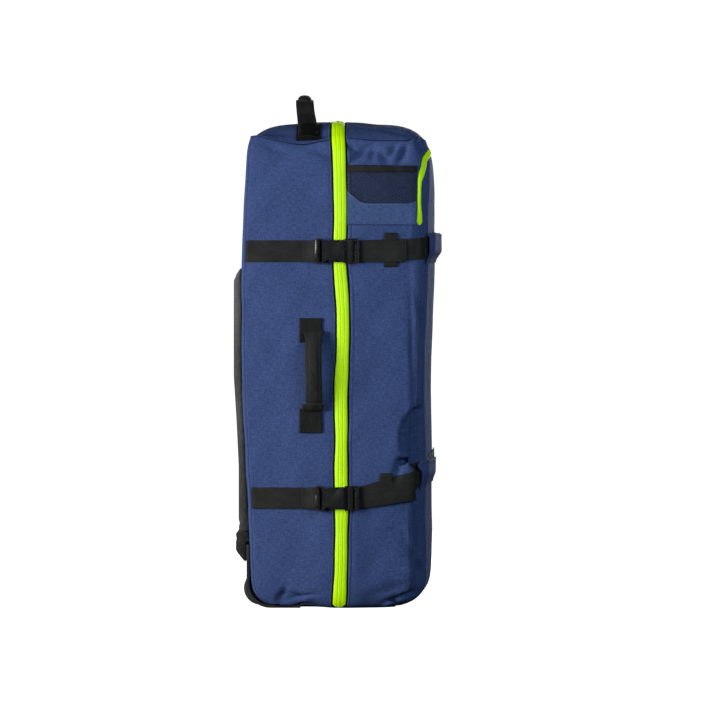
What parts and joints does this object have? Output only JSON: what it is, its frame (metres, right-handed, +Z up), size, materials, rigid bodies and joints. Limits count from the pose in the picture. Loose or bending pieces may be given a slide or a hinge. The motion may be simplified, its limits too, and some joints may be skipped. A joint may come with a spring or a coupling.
{
  "type": "wheeled travel bag",
  "caption": "Tall soft travel bag in blue cloth that opens along a bright all-round zip, with compression straps, side and top handles, a net pocket and inline wheels at its base.",
  "frame": {"origin": "on the flat underside that the bag stands on, midway between its two sides, near the middle of its depth", "axes": "+Z up, +X towards the bag's front panel, away from the wheels and back pad, -Y towards the side with the buckles, side handle and net pocket"},
  "size_m": [0.3925, 0.4533, 0.9583],
  "materials": {
    "blue_cloth": "heavy woven polyester, slate blue, matt",
    "neon_zip": "neon yellow-green zip tape and coil",
    "black_webbing": "black ribbed webbing and binding",
    "pocket_net": "fine dark net",
    "grey_pad": "dark grey padded fabric",
    "black_plastic": "moulded black plastic",
    "gloss_black": "smooth glossy black plastic",
    "tyre": "black moulded wheel tread",
    "steel": "bright axle pin"
  },
  "bodies": {
    "bag": {"rear_side_left": "blue_cloth", "rear_side_right": "blue_cloth", "rear_top": "blue_cloth", "front_side_left": "blue_cloth", "front_side_right": "blue_cloth", "front_top": "blue_cloth", "front_panel": "blue_cloth", "back_panel": "blue_cloth", "bottom_panel": "blue_cloth", "main_zip_tape_rear": "neon_zip", "main_zip_tape_front": "neon_zip", "main_zip_coil": "neon_zip", "main_zip_slider": "black_plastic", "front_zip_tape": "neon_zip", "front_zip_coil": "neon_zip", "front_zip_slider": "black_plastic", "strap_upper_rear": "black_webbing", "strap_upper_front": "black_webbing", "strap_lower_rear": "black_webbing", "strap_lower_front": "black_webbing", "keeper_upper": "black_webbing", "keeper_lower": "black_webbing", "sleeve_upper": "blue_cloth", "sleeve_lower": "blue_cloth", "buckle_upper_female": "black_plastic", "buckle_upper_male": "black_plastic", "buckle_lower_female": "black_plastic", "buckle_lower_male": "black_plastic", "side_handle_anchor_top": "black_webbing", "side_handle_anchor_bottom": "black_webbing", "side_handle_grip": "black_webbing", "top_handle_strap": "black_webbing", "top_handle_grip": "black_webbing", "top_handle_anchor_left": "black_webbing", "top_handle_anchor_right": "black_webbing", "pocket_mesh": "pocket_net", "pocket_patch": "blue_cloth", "pocket_binding": "black_webbing", "back_pad": "grey_pad", "lumbar_pad": "grey_pad", "base_plate": "gloss_black", "wheel_housing_left": "black_plastic", "wheel_housing_right": "black_plastic", "axle_left": "steel", "axle_right": "steel"},
    "wheel_left": {"wheel_left_tyre": "tyre", "wheel_left_hub": "black_plastic"},
    "wheel_right": {"wheel_right_tyre": "tyre", "wheel_right_hub": "black_plastic"}
  },
  "joints": [
    {"name": "wheel_left_spin", "type": "hinge", "parent": "bag", "child": "wheel_left", "pos_m": [-0.1425, -0.158, 0.0365], "axis": [0, 1, 0], "continuous": true},
    {"name": "wheel_right_spin", "type": "hinge", "parent": "bag", "child": "wheel_right", "pos_m": [-0.1425, 0.158, 0.0365], "axis": [0, 1, 0], "continuous": true}
  ]
}
